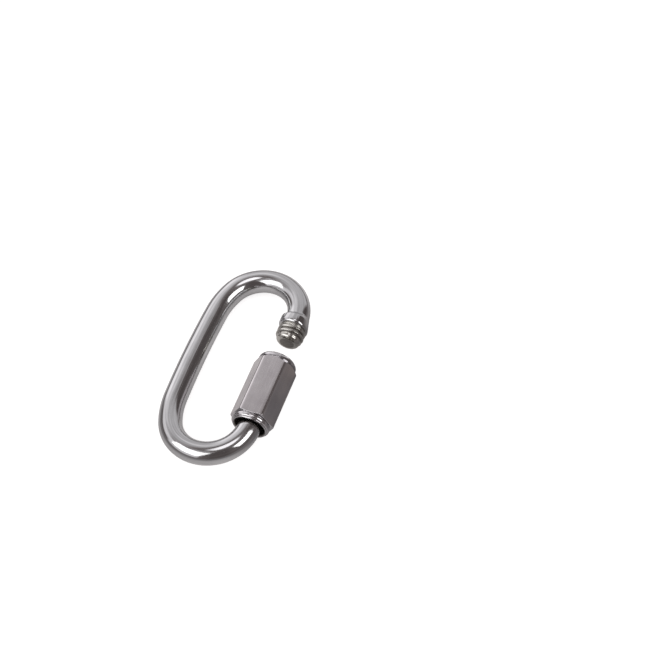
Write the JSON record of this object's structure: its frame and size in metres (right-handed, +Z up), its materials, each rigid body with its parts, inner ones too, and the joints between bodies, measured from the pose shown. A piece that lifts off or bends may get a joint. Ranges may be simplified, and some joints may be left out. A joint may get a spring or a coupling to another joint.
{
  "type": "threaded quick link carabiner",
  "caption": "Oval screw-lock carabiner link of bent round steel rod, its hexagonal sleeve nut run back to leave the threaded gate open.",
  "frame": {"origin": "on the surface the link lies on, below the middle of its bounding box", "axes": "+X along the sleeve nut's axis and the long sides, from the stud towards the base of the nut; +Y across the ring from the plain side to the nut's side; +Z up"},
  "size_m": [0.0592, 0.0298, 0.01],
  "materials": {
    "rod_steel": "polished stainless steel",
    "nut_steel": "polished stainless steel, drawn hexagon bar"
  },
  "bodies": {
    "link": {"link_body": "rod_steel"},
    "nut": {"sleeve_nut": "nut_steel"}
  },
  "joints": [
    {"name": "nut_travel", "type": "slide", "parent": "link", "child": "nut", "axis": [-1, 0, 0], "range_m": [0, 0.01]}
  ]
}
